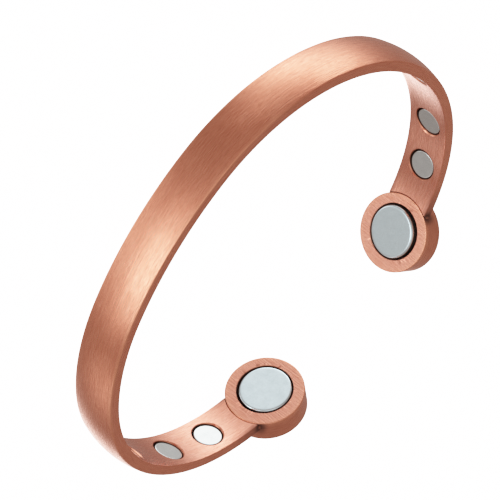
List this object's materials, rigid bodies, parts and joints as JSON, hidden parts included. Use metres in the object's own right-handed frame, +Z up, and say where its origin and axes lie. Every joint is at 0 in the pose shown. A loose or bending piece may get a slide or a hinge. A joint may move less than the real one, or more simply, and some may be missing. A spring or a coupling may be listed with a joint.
{
  "type": "open copper bracelet with magnets",
  "caption": "Open oval wrist cuff of brushed copper: a rounded band with a round cup soldered to each end, disc magnets in the cups and smaller ones let into its inside.",
  "frame": {"origin": "on the surface that it lies on, below the middle of its outline", "axes": "+Z up from the surface; X along the wrist oval's wide way; the opening with the two cups faces -Y and the closed back faces +Y"},
  "size_m": [0.0691, 0.0607, 0.0117],
  "materials": {
    "copper": "satin copper, brushed along the band",
    "magnet_nickel": "satin nickel plating with bright rounded edges"
  },
  "bodies": {
    "root": {"cuff": "copper", "cup_magnet_right": "magnet_nickel", "cup_magnet_left": "magnet_nickel", "band_magnet_right_1": "magnet_nickel", "band_magnet_right_2": "magnet_nickel", "band_magnet_right_3": "magnet_nickel", "band_magnet_left_1": "magnet_nickel", "band_magnet_left_2": "magnet_nickel", "band_magnet_left_3": "magnet_nickel"}
  },
  "joints": []
}
